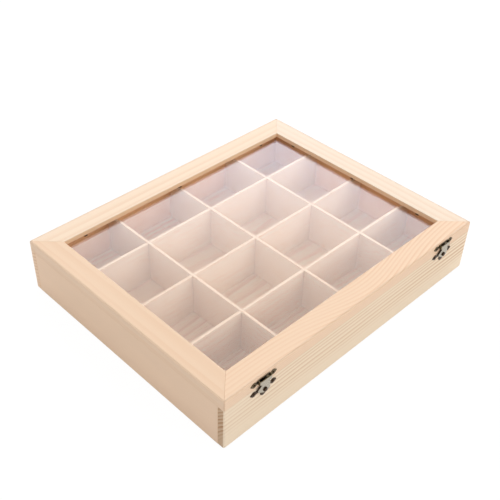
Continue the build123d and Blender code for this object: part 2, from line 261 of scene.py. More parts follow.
def pine_group():
    """Solid pine: growth rings round the local X axis, with wandering fibres and a slow change of tone."""
    if "Pine figure" in bpy.data.node_groups:
        return bpy.data.node_groups["Pine figure"]
    group, w, given, out = new_group(
        "Pine figure",
        (
            ("Vector", VECTOR, None),
            ("Ring Spacing", FLOAT, 0.003),
            ("Wander", FLOAT, 0.004),
            ("Swerve", FLOAT, 0.0),
            ("Swerve Length", FLOAT, 0.07),
            ("Figure", FLOAT, 0.6),
            ("Bold Middle", FLOAT, 0.0),
            ("Bold Reach", FLOAT, 1.0),
            ("Quiet", FLOAT, 0.25),
            ("Lean", FLOAT, 0.0),
            ("Tone", FLOAT, 0.06),
            ("Pale", COLOR, (0.8, 0.7, 0.5, 1)),
            ("Late", COLOR, (0.6, 0.4, 0.2, 1)),
            ("Sawn", FLOAT, 0.0),
            ("Sawn Rings", FLOAT, 0.0),
            ("Sawn End And Top Shade Tint", COLOR, (0.6, 0.5, 0.4, 1)),
            ("Inner", FLOAT, 0.0),
            ("Inner Bounce Tint", COLOR, (0.9, 0.7, 0.5, 1)),
            ("Light", FLOAT, 1.0),
            ("Smoothness", FLOAT, 0.0),
        ),
        (("Color", COLOR), ("Roughness", FLOAT), ("Height", FLOAT)),
    )
    at = given["Vector"]
    parts = w.node("ShaderNodeSeparateXYZ", {"Vector": at}).outputs
    # the grain wanders slowly along the log, and swerves once round a hidden knot
    drift = w.noise(w.stretch(at, 5.0, 26.0), 1.0, 2.0)
    drift_parts = w.node("ShaderNodeSeparateXYZ", {"Vector": drift.outputs["Color"]}).outputs
    reach = w.sum("DIVIDE", parts["X"], given["Swerve Length"])
    bell = w.sum("EXPONENT", w.sum("MULTIPLY", w.sum("MULTIPLY", reach, reach), -1.0))
    swerve = w.sum("MULTIPLY", given["Swerve"], bell)
    side = w.sum("MULTIPLY_ADD", w.sum("SUBTRACT", drift_parts["X"], 0.5), given["Wander"], parts["Y"])
    side = w.sum("ADD", side, swerve)
    rise = w.sum("MULTIPLY_ADD", w.sum("SUBTRACT", drift_parts["Y"], 0.5), given["Wander"], parts["Z"])
    radius = w.sum("SQRT", w.sum("ADD", w.sum("MULTIPLY", side, side), w.sum("MULTIPLY", rise, rise)))
    # good and poor years: the ring count runs a little fast or slow
    years = w.node("ShaderNodeTexNoise", {"W": radius, "Scale": 110.0, "Detail": 1.0}, noise_dimensions="1D")
    count = w.sum("ADD", w.sum("DIVIDE", radius, given["Ring Spacing"]), w.sum("MULTIPLY", years.outputs[0], 0.4))
    season = w.sum("FRACT", count)
    late = w.sum("MULTIPLY", w.ease(season, 0.30, 0.88), w.ease(season, 0.90, 1.0, 1.0, 0.0))
    away = w.sum("ABSOLUTE", w.sum("SUBTRACT", radius, given["Bold Middle"]))
    bold = w.ease(away, w.sum("MULTIPLY", given["Bold Reach"], 0.4), given["Bold Reach"], 1.0, given["Quiet"])
    patches = w.noise(w.stretch(at, 9.0, 60.0), 1.0, 1.0)
    bold = w.sum("MULTIPLY", bold, w.ease(patches.outputs[0], 0.25, 0.7, 0.55, 1.1))
    # the figure may gain strength towards one end of the log, by Lean for each metre
    figure = w.sum("MULTIPLY", given["Figure"], w.sum("MULTIPLY_ADD", parts["X"], given["Lean"], 1.0))
    ring = w.sum("MULTIPLY", w.sum("MULTIPLY", late, bold), figure)
    fibre = w.noise(w.stretch(at, 45.0, 2400.0), 1.0, 3.0, 0.6).outputs[0]
    tone = w.noise(w.stretch(at, 7.0, 34.0), 1.0, 2.0).outputs[0]
    end_ring = w.sum("MULTIPLY", w.sum("MULTIPLY", late, bold), w.sum("MULTIPLY", given["Sawn"], given["Sawn Rings"]))
    color = w.mix(w.sum("MAXIMUM", ring, end_ring), given["Pale"], given["Late"])
    # This tint is real end grain on the front board's ends and a painted shade on the divider strips' tops.
    color = w.mix(given["Sawn"], color, given["Sawn End And Top Shade Tint"], "MULTIPLY")
    # The inner tint is painted bounce light on the boards' inner faces.
    color = w.mix(given["Inner"], color, given["Inner Bounce Tint"], "MULTIPLY")
    # Painted Light scales the whole colour: below 1 it is a painted shade.
    shade = w.sum("MULTIPLY_ADD", w.sum("SUBTRACT", tone, 0.5), given["Tone"], given["Light"])
    shade = w.sum("MULTIPLY_ADD", w.sum("SUBTRACT", fibre, 0.5), 0.07, shade)
    shade_color = w.node("ShaderNodeCombineColor", {"Red": shade, "Green": shade, "Blue": shade}).outputs[0]
    w.put(out["Color"], w.mix(1.0, color, shade_color, "MULTIPLY"))
    matt = w.sum("SUBTRACT", w.sum("MULTIPLY_ADD", ring, -0.10, 0.58), given["Smoothness"])
    w.put(out["Roughness"], w.sum("MULTIPLY_ADD", fibre, 0.16, matt))
    w.put(out["Height"], w.sum("MULTIPLY_ADD", fibre, 0.5, w.sum("MULTIPLY", ring, 0.5)))
    return group


def window_light_group():
    """Painted light round the window: a lighter, more orange tint on the rails' inner faces, and a deeper orange as
    painted warm bounce in the rabbet under the pane.
    """
    if "Window face light" in bpy.data.node_groups:
        return bpy.data.node_groups["Window face light"]
    group, w, given, out = new_group(
        "Window face light",
        (
            ("Vector", VECTOR, None),
            ("Wood", COLOR, (0.8, 0.7, 0.5, 1)),
            ("Window Face Light", COLOR, (0.7, 0.4, 0.2, 1)),
            ("Rabbet Bounce", COLOR, (0.6, 0.25, 0.1, 1)),
            ("Half Length", FLOAT, 0.13),
            ("Half Depth", FLOAT, 0.10),
            ("Top", FLOAT, 0.05),
            ("Lip", FLOAT, 0.0045),
            ("Rabbet", FLOAT, 0.005),
        ),
        (("Color", COLOR),),
    )
    parts = w.node("ShaderNodeSeparateXYZ", {"Vector": given["Vector"]}).outputs
    past_x = w.sum("SUBTRACT", w.sum("ABSOLUTE", parts["X"]), given["Half Length"])
    past_y = w.sum("SUBTRACT", w.sum("ABSOLUTE", parts["Y"]), given["Half Depth"])
    past = w.sum("MAXIMUM", past_x, past_y)
    under = w.sum("SUBTRACT", given["Top"], parts["Z"])
    inner = w.sum("MULTIPLY", w.ease(past, 0.1 * MM, 0.6 * MM, 1.0, 0.0), w.ease(under, 0.1 * MM, 0.7 * MM))
    streaks = w.noise(w.stretch(given["Vector"], 60.0, 700.0), 1.0, 2.0).outputs[0]
    # the painted light on the window faces, varied by faint streaks
    window_light_share = w.sum("MULTIPLY", inner, w.ease(streaks, 0.1, 0.8, 0.78, 1.0))
    lit_window_face = w.mix(window_light_share, given["Wood"], given["Window Face Light"])
    # deep and near mark the rabbet under the pane, which takes the painted bounce
    deep = w.sum("GREATER_THAN", under, w.sum("SUBTRACT", given["Lip"], 0.1 * MM))
    near = w.sum("LESS_THAN", past, w.sum("ADD", given["Rabbet"], 0.3 * MM))
    w.put(out["Color"], w.mix(w.sum("MULTIPLY", deep, near), lit_window_face, given["Rabbet Bounce"]))
    return group


def plating_group():
    """Aged plating: soft blotches, fine scratches and a share where the plating wears through, which with a high Wear
    also serves as a painted highlight.
    """
    if "Aged plating" in bpy.data.node_groups:
        return bpy.data.node_groups["Aged plating"]
    group, w, given, out = new_group(
        "Aged plating",
        (
            ("Vector", VECTOR, None),
            ("Plating", COLOR, (0.1, 0.08, 0.05, 1)),
            ("Wear And Highlight", COLOR, (0.5, 0.45, 0.38, 1)),
            ("Wear", FLOAT, 0.2),
            ("Roughness", FLOAT, 0.34),
        ),
        (("Color", COLOR), ("Roughness", FLOAT), ("Height", FLOAT)),
    )
    blotch = w.noise(given["Vector"], 420.0, 4.0, 0.6).outputs[0]
    scratch = w.noise(w.stretch(given["Vector"], 900.0, 5200.0), 1.0, 2.0, 0.7).outputs[0]
    low = w.sum("SUBTRACT", 0.74, given["Wear"])
    high = w.sum("SUBTRACT", 0.98, given["Wear"])
    lightened = w.ease(w.sum("MULTIPLY_ADD", scratch, 0.25, w.sum("MULTIPLY", blotch, 0.85)), low, high)
    w.put(out["Color"], w.mix(lightened, given["Plating"], given["Wear And Highlight"]))
    rough = w.sum("MULTIPLY_ADD", w.sum("SUBTRACT", blotch, 0.5), 0.35, given["Roughness"])
    w.put(out["Roughness"], w.sum("MULTIPLY_ADD", lightened, -0.08, rough))
    w.put(out["Height"], w.sum("MULTIPLY_ADD", scratch, 0.3, blotch))
    return group


def new_material(name):
    """Empty material with its output, the principled shader and the object's own coordinates."""
    material = bpy.data.materials.new(name)
    material.use_nodes = True
    material.node_tree.nodes.clear()
    w = Wiring(material.node_tree)
    output = w.node("ShaderNodeOutputMaterial")
    shader = w.node("ShaderNodeBsdfPrincipled")
    w.put(output.inputs["Surface"], shader.outputs[0])
    place = w.node("ShaderNodeTexCoord").outputs["Object"]
    return material, w, shader, place


def dress(w, shader, group, bump):
    """Feeds a surface group's colour, roughness and height to the shader."""
    w.put(shader.inputs["Base Color"], group.outputs["Color"])
    w.put(shader.inputs["Roughness"], group.outputs["Roughness"])
    relief = w.node("ShaderNodeBump", {"Strength": 1.0, "Distance": bump, "Height": group.outputs["Height"]})
    w.put(shader.inputs["Normal"], relief.outputs[0])


def wood_material(name, pale, late, pith, turn, routed=False, sawn_end_and_top_shade=None, inner=None, **figure):
    """Pine cut from a log whose pith passes through a point, with its own turn.

    An end or top face is given by its axis, its distance along that axis and its tint, which is real
    end grain on the front board and a painted shade on the divider strips' tops. An inner face
    is given by its axis and its distance, and takes a warm tint that is painted bounce light.
    """
    material, w, shader, place = new_material(name)
    wood = bpy.context.scene.case_wood
    log = w.node(
        "ShaderNodeMapping", {"Vector": place, "Location": pith, "Rotation": turn}, vector_type="TEXTURE"
    )
    sockets = {"Vector": log.outputs[0], "Pale": pale, "Late": late}
    if sawn_end_and_top_shade:
        axis, distance, end_and_top_tint = sawn_end_and_top_shade
        reach = w.sum("ABSOLUTE", w.node("ShaderNodeSeparateXYZ", {"Vector": place}).outputs[axis])
        sockets["Sawn"] = w.ease(reach, distance - 0.15 * MM, distance - 0.05 * MM)
        sockets["Sawn End And Top Shade Tint"] = end_and_top_tint
    if inner:
        axis, distance = inner
        reach = w.sum("ABSOLUTE", w.node("ShaderNodeSeparateXYZ", {"Vector": place}).outputs[axis])
        sockets["Inner"] = w.ease(reach, distance + 0.05 * MM, distance + 0.3 * MM, 1.0, 0.0)
        sockets["Inner Bounce Tint"] = wood.inner
    sockets.update(figure)
    pine = w.node("ShaderNodeGroup", node_tree=pine_group())
    for key, value in sockets.items():
        w.put(pine.inputs[key], value)
    dress(w, shader, pine, 0.05 * MM)
    # the lid's rails take the painted light and painted bounce round the window
    if routed:
        low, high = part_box("glass_pane")
        edge = w.node("ShaderNodeGroup", node_tree=window_light_group())
        for key, value in (
            ("Vector", place),
            ("Wood", pine.outputs["Color"]),
            ("Window Face Light", wood.window_face_light),
            ("Rabbet Bounce", wood.rabbet_bounce),
            ("Half Length", high[0] - PANE_IN_RABBET),
            ("Half Depth", high[1] - PANE_IN_RABBET),
            ("Top", CAD_BOX[1][2]),
            ("Lip", CAD_BOX[1][2] - high[2]),
            ("Rabbet", PANE_IN_RABBET),
        ):
            w.put(edge.inputs[key], value)
        w.put(shader.inputs["Base Color"], edge.outputs[0])
    shader.inputs["Specular IOR Level"].default_value = 0.55 if routed else 0.25
    return material


def plated_material(name, plating, rubbed, wear, roughness):
    material, w, shader, place = new_material(name)
    aged = w.node("ShaderNodeGroup", node_tree=plating_group())
    for key, value in (
        ("Vector", place), ("Plating", plating), ("Wear And Highlight", rubbed), ("Wear", wear), ("Roughness", roughness)
    ):
        w.put(aged.inputs[key], value)
    dress(w, shader, aged, 0.02 * MM)
    shader.inputs["Metallic"].default_value = 1.0
    return material


def glass_material(settings):
    """Clear float glass that lets lamps reach what lies under it."""
    material, w, shader, place = new_material("clear float glass")
    shader.inputs["Base Color"].default_value = settings.clear
    shader.inputs["Roughness"].default_value = settings.roughness
    shader.inputs["IOR"].default_value = settings.ior
    shader.inputs["Transmission Weight"].default_value = 1.0
    waves = w.noise(place, 9.0, 1.0).outputs[0]
    relief = w.node("ShaderNodeBump", {"Strength": 0.15, "Distance": 0.02 * MM, "Height": waves})
    w.put(shader.inputs["Normal"], relief.outputs[0])
    path = w.node("ShaderNodeLightPath").outputs
    open_way = w.sum("MAXIMUM", path["Is Shadow Ray"], path["Is Diffuse Ray"])
    through = w.node("ShaderNodeBsdfTransparent", {"Color": (0.93, 0.93, 0.93, 1)})
    either = w.node("ShaderNodeMixShader", {0: open_way, 1: shader.outputs[0], 2: through.outputs[0]})
    output = next(n for n in material.node_tree.nodes if n.type == "OUTPUT_MATERIAL")
    w.put(output.inputs["Surface"], either.outputs[0])
    return material


# ------------------------------------------------------------------ pieces
def body_of_node(node):
    return next(body for body, nodes in frame["record"]["behaviour"]["bodies"].items() if node in nodes)


def place_piece(name, mesh, nodes):
    """Makes a mesh a piece that stands for some nodes of one body."""
    piece = bpy.data.objects.new(name, mesh)
    bpy.context.scene.collection.objects.link(piece)
    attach(piece, body_of_node(nodes[0]))
    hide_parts(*nodes)
    return piece


def eased_copy(node, width, materials, highlight_beyond=None):
    """A node's shape as one welded mesh, whose sharp edges are eased and take the last material.

    Outward faces that stand further off the wood than highlight_beyond take the second material, which carries a
    painted highlight.
    """
    shell = bmesh.new()
    shell.from_mesh(frame["nodes"][node].data)
    bmesh.ops.remove_doubles(shell, verts=shell.verts, dist=WELD)
    bmesh.ops.dissolve_limit(
        shell, angle_limit=math.radians(0.5), verts=shell.verts, edges=shell.edges, delimit={"NORMAL"}
    )
    for face in shell.faces:
        face.smooth = True
        # proud faces that look forward take the painted highlight
        if highlight_beyond is not None and -face.calc_center_median().y > highlight_beyond and face.normal.y < -0.6:
            face.material_index = 1
    mesh = bpy.data.meshes.new(f"{node}_eased")
    shell.to_mesh(mesh)
    shell.free()
    for layer in [a for a in mesh.attributes if a.name == "custom_normal"]:
        mesh.attributes.remove(layer)
    for material in materials:
        mesh.materials.append(material)
    piece = place_piece(f"{node}_finished", mesh, [node])
    bevel = piece.modifiers.new("eased edges", "BEVEL")
    bevel.width = width
    bevel.segments = 2
    bevel.limit_method = "ANGLE"
    bevel.angle_limit = math.radians(38)
    bevel.use_clamp_overlap = False
    bevel.material = len(materials) - 1
    shading = piece.modifiers.new("flat faces", "WEIGHTED_NORMAL")
    shading.mode = "FACE_AREA"
    shading.weight = 100
    return piece


def islands(node):
    """Lowest and highest corners of each separate solid of a node."""
    shell = bmesh.new()
    shell.from_mesh(frame["nodes"][node].data)
    bmesh.ops.remove_doubles(shell, verts=shell.verts, dist=WELD)
    waiting = set(shell.verts)
    boxes = []
    while waiting:
        edge_of = [waiting.pop()]
        low, high = edge_of[0].co.copy(), edge_of[0].co.copy()
        while edge_of:
            vertex = edge_of.pop()
            low = Vector(map(min, low, vertex.co))
            high = Vector(map(max, high, vertex.co))
            for edge in vertex.link_edges:
                other = edge.other_vert(vertex)
                if other in waiting:
                    waiting.remove(other)
                    edge_of.append(other)
        boxes.append((low, high))
    shell.free()
    return sorted(boxes, key=lambda box: tuple(round(c, 6) for c in box[0]))


# ------------------------------------------------------------------ repeated small pieces
def new_geometry_tree(name, inputs):
    tree = bpy.data.node_groups.new(name, "GeometryNodeTree")
    tree.interface.new_socket("Geometry", in_out="INPUT", socket_type="NodeSocketGeometry")
    for label, kind in inputs:
        tree.interface.new_socket(label, in_out="INPUT", socket_type=kind)
    tree.interface.new_socket("Geometry", in_out="OUTPUT", socket_type="NodeSocketGeometry")
    wiring = Wiring(tree)
    return tree, wiring, wiring.node("NodeGroupInput").outputs, wiring.node("NodeGroupOutput").inputs


def vector_of(w, x=0.0, y=0.0, z=0.0):
    return w.node("ShaderNodeCombineXYZ", {"X": x, "Y": y, "Z": z}).outputs[0]


def brad_tree():
    """Dome-headed brads at the points of a mesh, each with a small turn and tilt of its own."""
    if "Brads" in bpy.data.node_groups:
        return bpy.data.node_groups["Brads"]
    tree, w, given, out = new_geometry_tree(
        "Brads",
        (
            ("Head Radius", FLOAT),
            ("Head Height", FLOAT),
            ("Shank Radius", FLOAT),
            ("Shank Length", FLOAT),
            ("Facing", FLOAT),
            ("Tilt", FLOAT),
            ("Seed", "NodeSocketInt"),
            ("Material", "NodeSocketMaterial"),
        ),
    )
    ball = w.node("GeometryNodeMeshUVSphere", {"Segments": 20, "Rings": 12, "Radius": given["Head Radius"]})
    place = w.node("ShaderNodeSeparateXYZ", {"Vector": w.node("GeometryNodeInputPosition").outputs[0]}).outputs
    squash = w.sum("DIVIDE", given["Head Height"], given["Head Radius"])
    top = w.sum("MULTIPLY", w.sum("MAXIMUM", place["Z"], 0.0), squash)
    dome = w.node(
        "GeometryNodeSetPosition",
        {"Geometry": ball.outputs["Mesh"], "Position": vector_of(w, place["X"], place["Y"], top)},
    )
    shank = w.node(
        "GeometryNodeMeshCone",
        {
            "Vertices": 12,
            "Radius Top": given["Shank Radius"],
            "Radius Bottom": w.sum("MULTIPLY", given["Shank Radius"], 0.35),
            "Depth": given["Shank Length"],
        },
    )
    lowered = w.node(
        "GeometryNodeTransform",
        {
            "Geometry": shank.outputs["Mesh"],
            "Translation": vector_of(w, z=w.sum("MULTIPLY", given["Shank Length"], -1.0)),
        },
    )
    brad = w.node("GeometryNodeJoinGeometry")
    for part in (dome.outputs[0], lowered.outputs[0]):
        w.tree.links.new(part, brad.inputs[0])
    low = vector_of(w, w.sum("MULTIPLY", given["Tilt"], -1.0), w.sum("MULTIPLY", given["Tilt"], -1.0), -3.14)
    high = vector_of(w, given["Tilt"], given["Tilt"], 3.14)
    turn = w.node("FunctionNodeRandomValue", {"Seed": given["Seed"]}, data_type="FLOAT_VECTOR")
    w.put(turn.inputs[0], low)
    w.put(turn.inputs[1], high)
    own = w.node("FunctionNodeEulerToRotation", {0: turn.outputs[0]})
    facing = w.node("FunctionNodeEulerToRotation", {0: vector_of(w, x=given["Facing"])})
    both = w.node(
        "FunctionNodeRotateRotation", {"Rotation": facing.outputs[0], "Rotate By": own.outputs[0]}, rotation_space="LOCAL"
    )
    brads = w.node(
        "GeometryNodeInstanceOnPoints",
        {"Points": given["Geometry"], "Instance": brad.outputs[0], "Rotation": both.outputs[0]},
    )
    finish_tree(w, brads.outputs[0], given["Material"], out)
    return tree


def dart_tree():
    """Flat glazing darts at the points of a mesh, turned by each point's heading."""
    if "Glazing darts" in bpy.data.node_groups:
        return bpy.data.node_groups["Glazing darts"]
    tree, w, given, out = new_geometry_tree(
        "Glazing darts",
        (("Length", FLOAT), ("Width", FLOAT), ("Thickness", FLOAT), ("Material", "NodeSocketMaterial")),
    )
    size = vector_of(w, given["Length"], given["Width"], given["Thickness"])
    blank = w.node("GeometryNodeMeshCube", {"Size": size, "Vertices X": 5, "Vertices Y": 3, "Vertices Z": 2})
    place = w.node("ShaderNodeSeparateXYZ", {"Vector": w.node("GeometryNodeInputPosition").outputs[0]}).outputs
    inward = w.sum("DIVIDE", place["X"], given["Length"])
    taper = w.node("ShaderNodeMapRange", {"Value": inward, "From Min": -0.5, "From Max": -0.25, "To Min": 0.08})
    dart = w.node(
        "GeometryNodeSetPosition",
        {
            "Geometry": blank.outputs["Mesh"],
            "Position": vector_of(w, place["X"], w.sum("MULTIPLY", place["Y"], taper.outputs[0]), place["Z"]),
        },
    )
    heading = w.node("GeometryNodeInputNamedAttribute", {"Name": "heading"}, data_type="FLOAT")
    turned = w.node("FunctionNodeEulerToRotation", {0: vector_of(w, z=heading.outputs[0])})
    darts = w.node(
        "GeometryNodeInstanceOnPoints",
        {"Points": given["Geometry"], "Instance": dart.outputs[0], "Rotation": turned.outputs[0]},
    )
    finish_tree(w, darts.outputs[0], given["Material"], out)
    return tree


def finish_tree(w, instances, material, out):
    real = w.node("GeometryNodeRealizeInstances", {"Geometry": instances})
    coated = w.node("GeometryNodeSetMaterial", {"Geometry": real.outputs[0], "Material": material})
    w.put(out["Geometry"], coated.outputs[0])


def grow(name, points, tree, values, nodes, headings=None):
    """Runs a tree on points and keeps the result as a plain mesh piece."""
    seedbed = bpy.data.meshes.new(f"{name}_points")
    seedbed.from_pydata(points, [], [])
    if headings:
        seedbed.attributes.new("heading", "FLOAT", "POINT").data.foreach_set("value", headings)
    helper = bpy.data.objects.new(f"{name}_helper", seedbed)
    bpy.context.scene.collection.objects.link(helper)
    modifier = helper.modifiers.new("repeat", "NODES")
    modifier.node_group = tree
    sockets = {s.name: s.identifier for s in tree.interface.items_tree if s.in_out == "INPUT"}
    for label, value in values.items():
        modifier[sockets[label]] = value
    shown = helper.evaluated_get(bpy.context.evaluated_depsgraph_get())
    mesh = bpy.data.meshes.new_from_object(shown)
    mesh.name = name
    bpy.data.objects.remove(helper)
    return place_piece(name, mesh, nodes)


# ------------------------------------------------------------------ operators
class CaseOperator(Operator):
    """Base of the operators below."""

    bl_options = {"REGISTER", "UNDO"}


# Where each piece's log lies: its pith in millimetres, and how its figure shows.
CASE_BOARDS = {
    "front_board": ((0, -212, -62), 0, {"Ring Spacing": 2.85, "Wander": 3.6, "Figure": 0.6, "Lean": 3.2, "Bold Middle": 133, "Bold Reach": 18.0, "Quiet": 0.05, "Tone": 0.05, "Sawn Rings": 1.0}),
    "back_board": ((20, 190, 260), 0, {"Ring Spacing": 3.4, "Wander": 4.0, "Figure": 0.38, "Bold Middle": 240, "Bold Reach": 20, "Quiet": 0.5, "Tone": 0.05}),
    "left_board": ((-320, 0, 21), 90, {"Ring Spacing": 9.0, "Wander": 9.0, "Figure": 0.2, "Quiet": 0.6, "Tone": 0.10}),
    "right_board": ((330, 0, 40), 90, {"Ring Spacing": 7.0, "Wander": 8.0, "Figure": 0.24, "Quiet": 0.6, "Tone": 0.09}),
}
LID_RAILS = {
    "lid_front_rail": ((15, -250, -200), 0, {"Ring Spacing": 1.75, "Wander": 3.0, "Swerve": 19.0, "Swerve Length": 66.0, "Figure": 0.42, "Lean": 2.6, "Quiet": 0.6, "Tone": 0.05, "Smoothness": 0.16}),
    "lid_back_rail": ((-40, 300, -120), 0, {"Ring Spacing": 6.0, "Wander": 6.0, "Figure": 0.22, "Quiet": 0.5, "Tone": 0.05, "Smoothness": 0.16}),
    # the left rail's Painted Light below 1 darkens it as painted shade
    "lid_left_rail": ((-400, 0, -150), 90, {"Ring Spacing": 8.0, "Wander": 8.0, "Figure": 0.16, "Quiet": 0.5, "Tone": 0.05, "Light": 0.965, "Smoothness": 0.10}),
    "lid_right_rail": ((390, 40, -100), 90, {"Ring Spacing": 6.0, "Wander": 7.0, "Figure": 0.2, "Quiet": 0.5, "Tone": 0.05, "Smoothness": 0.16}),
}
LENGTH_INPUTS = ("Ring Spacing", "Wander", "Swerve", "Swerve Length", "Bold Middle", "Bold Reach")


def cut_from_log(node, pale, late, pith, heading, figure, routed=False, sawn_end_and_top_shade=None, inner=None):
    """Finishes one wooden node from its own log."""
    in_metres = {key: value * MM if key in LENGTH_INPUTS else value for key, value in figure.items()}
    where = tuple(value * MM for value in pith)
    turn = (0.0, 0.0, math.radians(heading))
    material = wood_material(f"{node} pine", pale, late, where, turn, routed, sawn_end_and_top_shade, inner, **in_metres)
    return eased_copy(node, bpy.context.scene.case_wood.easing, [material])


class CASE_OT_boards(CaseOperator):
    """Gives the four boards of the case their pine and eased edges"""

    bl_idname = "case.boards"
    bl_label = "Case boards"

    def execute(self, context):
        wood = context.scene.case_wood
        for node, (pith, heading, figure) in CASE_BOARDS.items():
            # the front board takes the paler wood, which is partly painted light
            pale = wood.front_wood_and_light if node == "front_board" else wood.side_wood_and_shade
            sawn_end_and_top_shade = ("X", CAD_BOX[1][0], wood.end_grain) if node == "front_board" else None
            across = 0 if heading else 1
            # each board's inner face takes the painted bounce light
            inner = ("XY"[across], min(abs(corner[across]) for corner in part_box(node)))
            cut_from_log(node, pale, wood.case_late, pith, heading, figure, sawn_end_and_top_shade=sawn_end_and_top_shade, inner=inner)
        return {"FINISHED"}


class CASE_OT_rails(CaseOperator):
    """Gives the four mitred rails of the lid their pine and eased edges"""

    bl_idname = "case.rails"
    bl_label = "Lid rails"

    def execute(self, context):
        wood = context.scene.case_wood
        for node, (pith, heading, figure) in LID_RAILS.items():
            # the back and right rails take the wood that is paler as painted sheen
            pale = {"lid_back_rail": wood.back_rail_wood_and_sheen, "lid_right_rail": wood.right_rail_wood_and_sheen}.get(node, wood.lid_pale)
            cut_from_log(node, pale, wood.lid_late, pith, heading, figure, routed=True)
        return {"FINISHED"}


class CASE_OT_dividers(CaseOperator):
    """Gives the divider strips and the bottom panel their wood"""

    bl_idname = "case.dividers"
    bl_label = "Dividers and floor"

    def execute(self, context):
        wood = context.scene.case_wood
        figure = {"Ring Spacing": 5.0, "Wander": 8.0, "Figure": 0.35, "Tone": 0.05, "Quiet": 0.6}
        strips = [node for node in frame["nodes"] if "divider" in node]
        for number, node in enumerate(strips):
            heading = 0 if node.startswith("long") else 90
            pith = (35.0 * number, 60.0 + 23.0 * number, -140.0 - 11.0 * number)
            # the strip's top takes a painted shade
            sawn_end_and_top_shade = ("Z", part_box(node)[1][2], wood.strip_top_shade)
            cut_from_log(node, wood.divider_pale, wood.divider_late, pith, heading, figure, sawn_end_and_top_shade=sawn_end_and_top_shade)
        floor_figure = dict(figure, Figure=0.5, Wander=14.0)
        cut_from_log("bottom_panel", wood.floor_pale, wood.floor_late, (0, 30, -70), 0, floor_figure)
        return {"FINISHED"}


class CASE_OT_pane(CaseOperator):
    """Makes the pane clear glass"""

    bl_idname = "case.pane"
    bl_label = "Glass pane"

    def execute(self, context):
        glass = glass_material(context.scene.case_pane)
        pane = frame["nodes"]["glass_pane"]
        for slot in pane.material_slots:
            slot.material = glass
        return {"FINISHED"}


class CASE_OT_clasps(CaseOperator):
    """Finishes the clasps' plates, levers and rivets"""

    bl_idname = "case.clasps"
    bl_label = "Clasps"

    def execute(self, context):
        metal = context.scene.case_metal
        dark = plated_material("dark bronze", metal.bronze, metal.rubbed, 0.06, metal.roughness)
        # the lid's plates take the lighter bronze, a painted light
        lightened = plated_material("lightened bronze", metal.lightened, metal.rubbed, 0.10, metal.roughness)
        edge = plated_material("rubbed bronze edge", metal.bronze, metal.rubbed, 0.22, metal.roughness)
        # proud front faces: heavy wear that is partly rubbing, partly a painted highlight
        face = plated_material("bronze face with wear and painted highlight", metal.bronze, metal.rubbed, 0.52, metal.roughness)
        wood_face = -CAD_BOX[0][1] - TALLEST_METAL
        for side in ("left", "right"):
            eased_copy(f"clasp_strike_plate_{side}", metal.easing, [lightened, face, edge], wood_face + 1.5 * MM)
            eased_copy(f"clasp_base_plate_{side}", metal.easing, [dark, edge])
            eased_copy(f"clasp_lever_{side}", metal.easing, [dark, face, edge], wood_face + 1.5 * MM)
            eased_copy(f"clasp_rivet_{side}", metal.easing, [dark])
        return {"FINISHED"}


class CASE_OT_hinges(CaseOperator):
    """Finishes the hinges' leaves and pins"""

    bl_idname = "case.hinges"
    bl_label = "Hinges"

    def execute(self, context):
        metal = context.scene.case_metal
        leaf = plated_material("hinge bronze", metal.bronze, metal.rubbed, 0.16, metal.roughness)
        edge = plated_material("hinge edge", metal.bronze, metal.rubbed, 0.40, metal.roughness)
        wire = plated_material("pin wire", metal.steel, metal.rubbed, 0.30, metal.roughness)
        for side in ("left", "right"):
            for part in ("case", "lid"):
                eased_copy(f"hinge_{part}_leaf_{side}", metal.easing, [leaf, edge])
            eased_copy(f"hinge_pin_{side}", metal.easing, [wire])
        return {"FINISHED"}


class CASE_OT_brads(CaseOperator):
    """Drives the dome-headed brads of the clasps and hinges"""

    bl_idname = "case.brads"
    bl_label = "Brads"

    def execute(self, context):
        nails = context.scene.case_nails
        metal = context.scene.case_metal
        coat = plated_material("brad bronze", metal.bronze, metal.rubbed, 0.06, metal.roughness)
        for node in [name for name in frame["nodes"] if name.endswith("_nails")]:
            outward = -1 if node.startswith("clasp") else 1
            solids = islands(node)
            seats = []
            for low, high in solids:
                face = low.y if outward < 0 else high.y
                seats.append(((low.x + high.x) / 2, face - outward * nails.head_height, (low.z + high.z) / 2))
            reach = solids[0][1].y - solids[0][0].y
            values = {
                "Head Radius": nails.head_radius,
                "Head Height": nails.head_height,
                "Shank Radius": nails.shank_radius,
                "Shank Length": reach - nails.head_height,
                "Facing": -outward * RIGHT_ANGLE,
                "Tilt": nails.tilt,
                "Seed": nails.seed,
                "Material": coat,
            }
            grow(f"{node}_driven", seats, brad_tree(), values, [node])
        return {"FINISHED"}


class CASE_OT_darts(CaseOperator):
    """Sets the glazing points under the pane"""

    bl_idname = "case.darts"
    bl_label = "Glazing points"

    def execute(self, context):
        metal = context.scene.case_metal
        steel = plated_material("blued steel", metal.steel, metal.rubbed, 0.0, metal.roughness)
        solids = islands("glazing_points")
        seats = [(low + high) / 2 for low, high in solids]
        spans = [high - low for low, high in solids]
        headings = []
        for seat, span in zip(seats, spans):
            if span.x > span.y:
                headings.append(0.0 if seat.x < 0 else math.pi)
            else:
                headings.append(RIGHT_ANGLE if seat.y < 0 else -RIGHT_ANGLE)
        values = {
            "Length": max(spans[0].x, spans[0].y),
            "Width": min(spans[0].x, spans[0].y),
            "Thickness": spans[0].z,
            "Material": steel,
        }
        grow("glazing_darts", seats, dart_tree(), values, ["glazing_points"], headings)
        return {"FINISHED"}


# ------------------------------------------------------------------ stage
CAMERA_AT = Vector((-400.3, -382.6, 487.9)) * MM
CAMERA_LOOKS_AT = Vector((0.8, 6.9, 25.0)) * MM
MIRRORED = Vector((0.5526, 0.5366, 0.6377))


